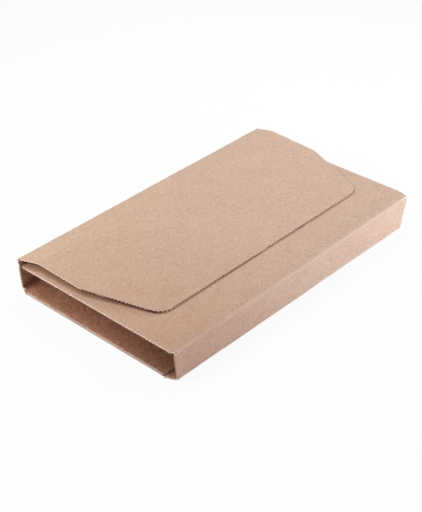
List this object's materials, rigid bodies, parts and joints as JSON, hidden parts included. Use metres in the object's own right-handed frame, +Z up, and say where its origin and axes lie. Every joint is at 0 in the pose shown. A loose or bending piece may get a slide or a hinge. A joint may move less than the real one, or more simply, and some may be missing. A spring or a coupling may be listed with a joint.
{
  "type": "book wrap mailer",
  "caption": "Folded-shut book wrap mailer of brown board: base, two walls, cover, overlapping closing flap with slanted ends, and folded-in end flaps; both short ends open.",
  "frame": {"origin": "middle of the folded mailer seen from above, on the surface that its base rests on", "axes": "+X along the two long walls, +Y from the front wall with the cover to the back wall with the closing flap, +Z up"},
  "size_m": [0.2888, 0.1752, 0.0406],
  "materials": {
    "board": "matt uncoated brown kraft"
  },
  "bodies": {
    "root": {"folded_board": "board"}
  },
  "joints": []
}
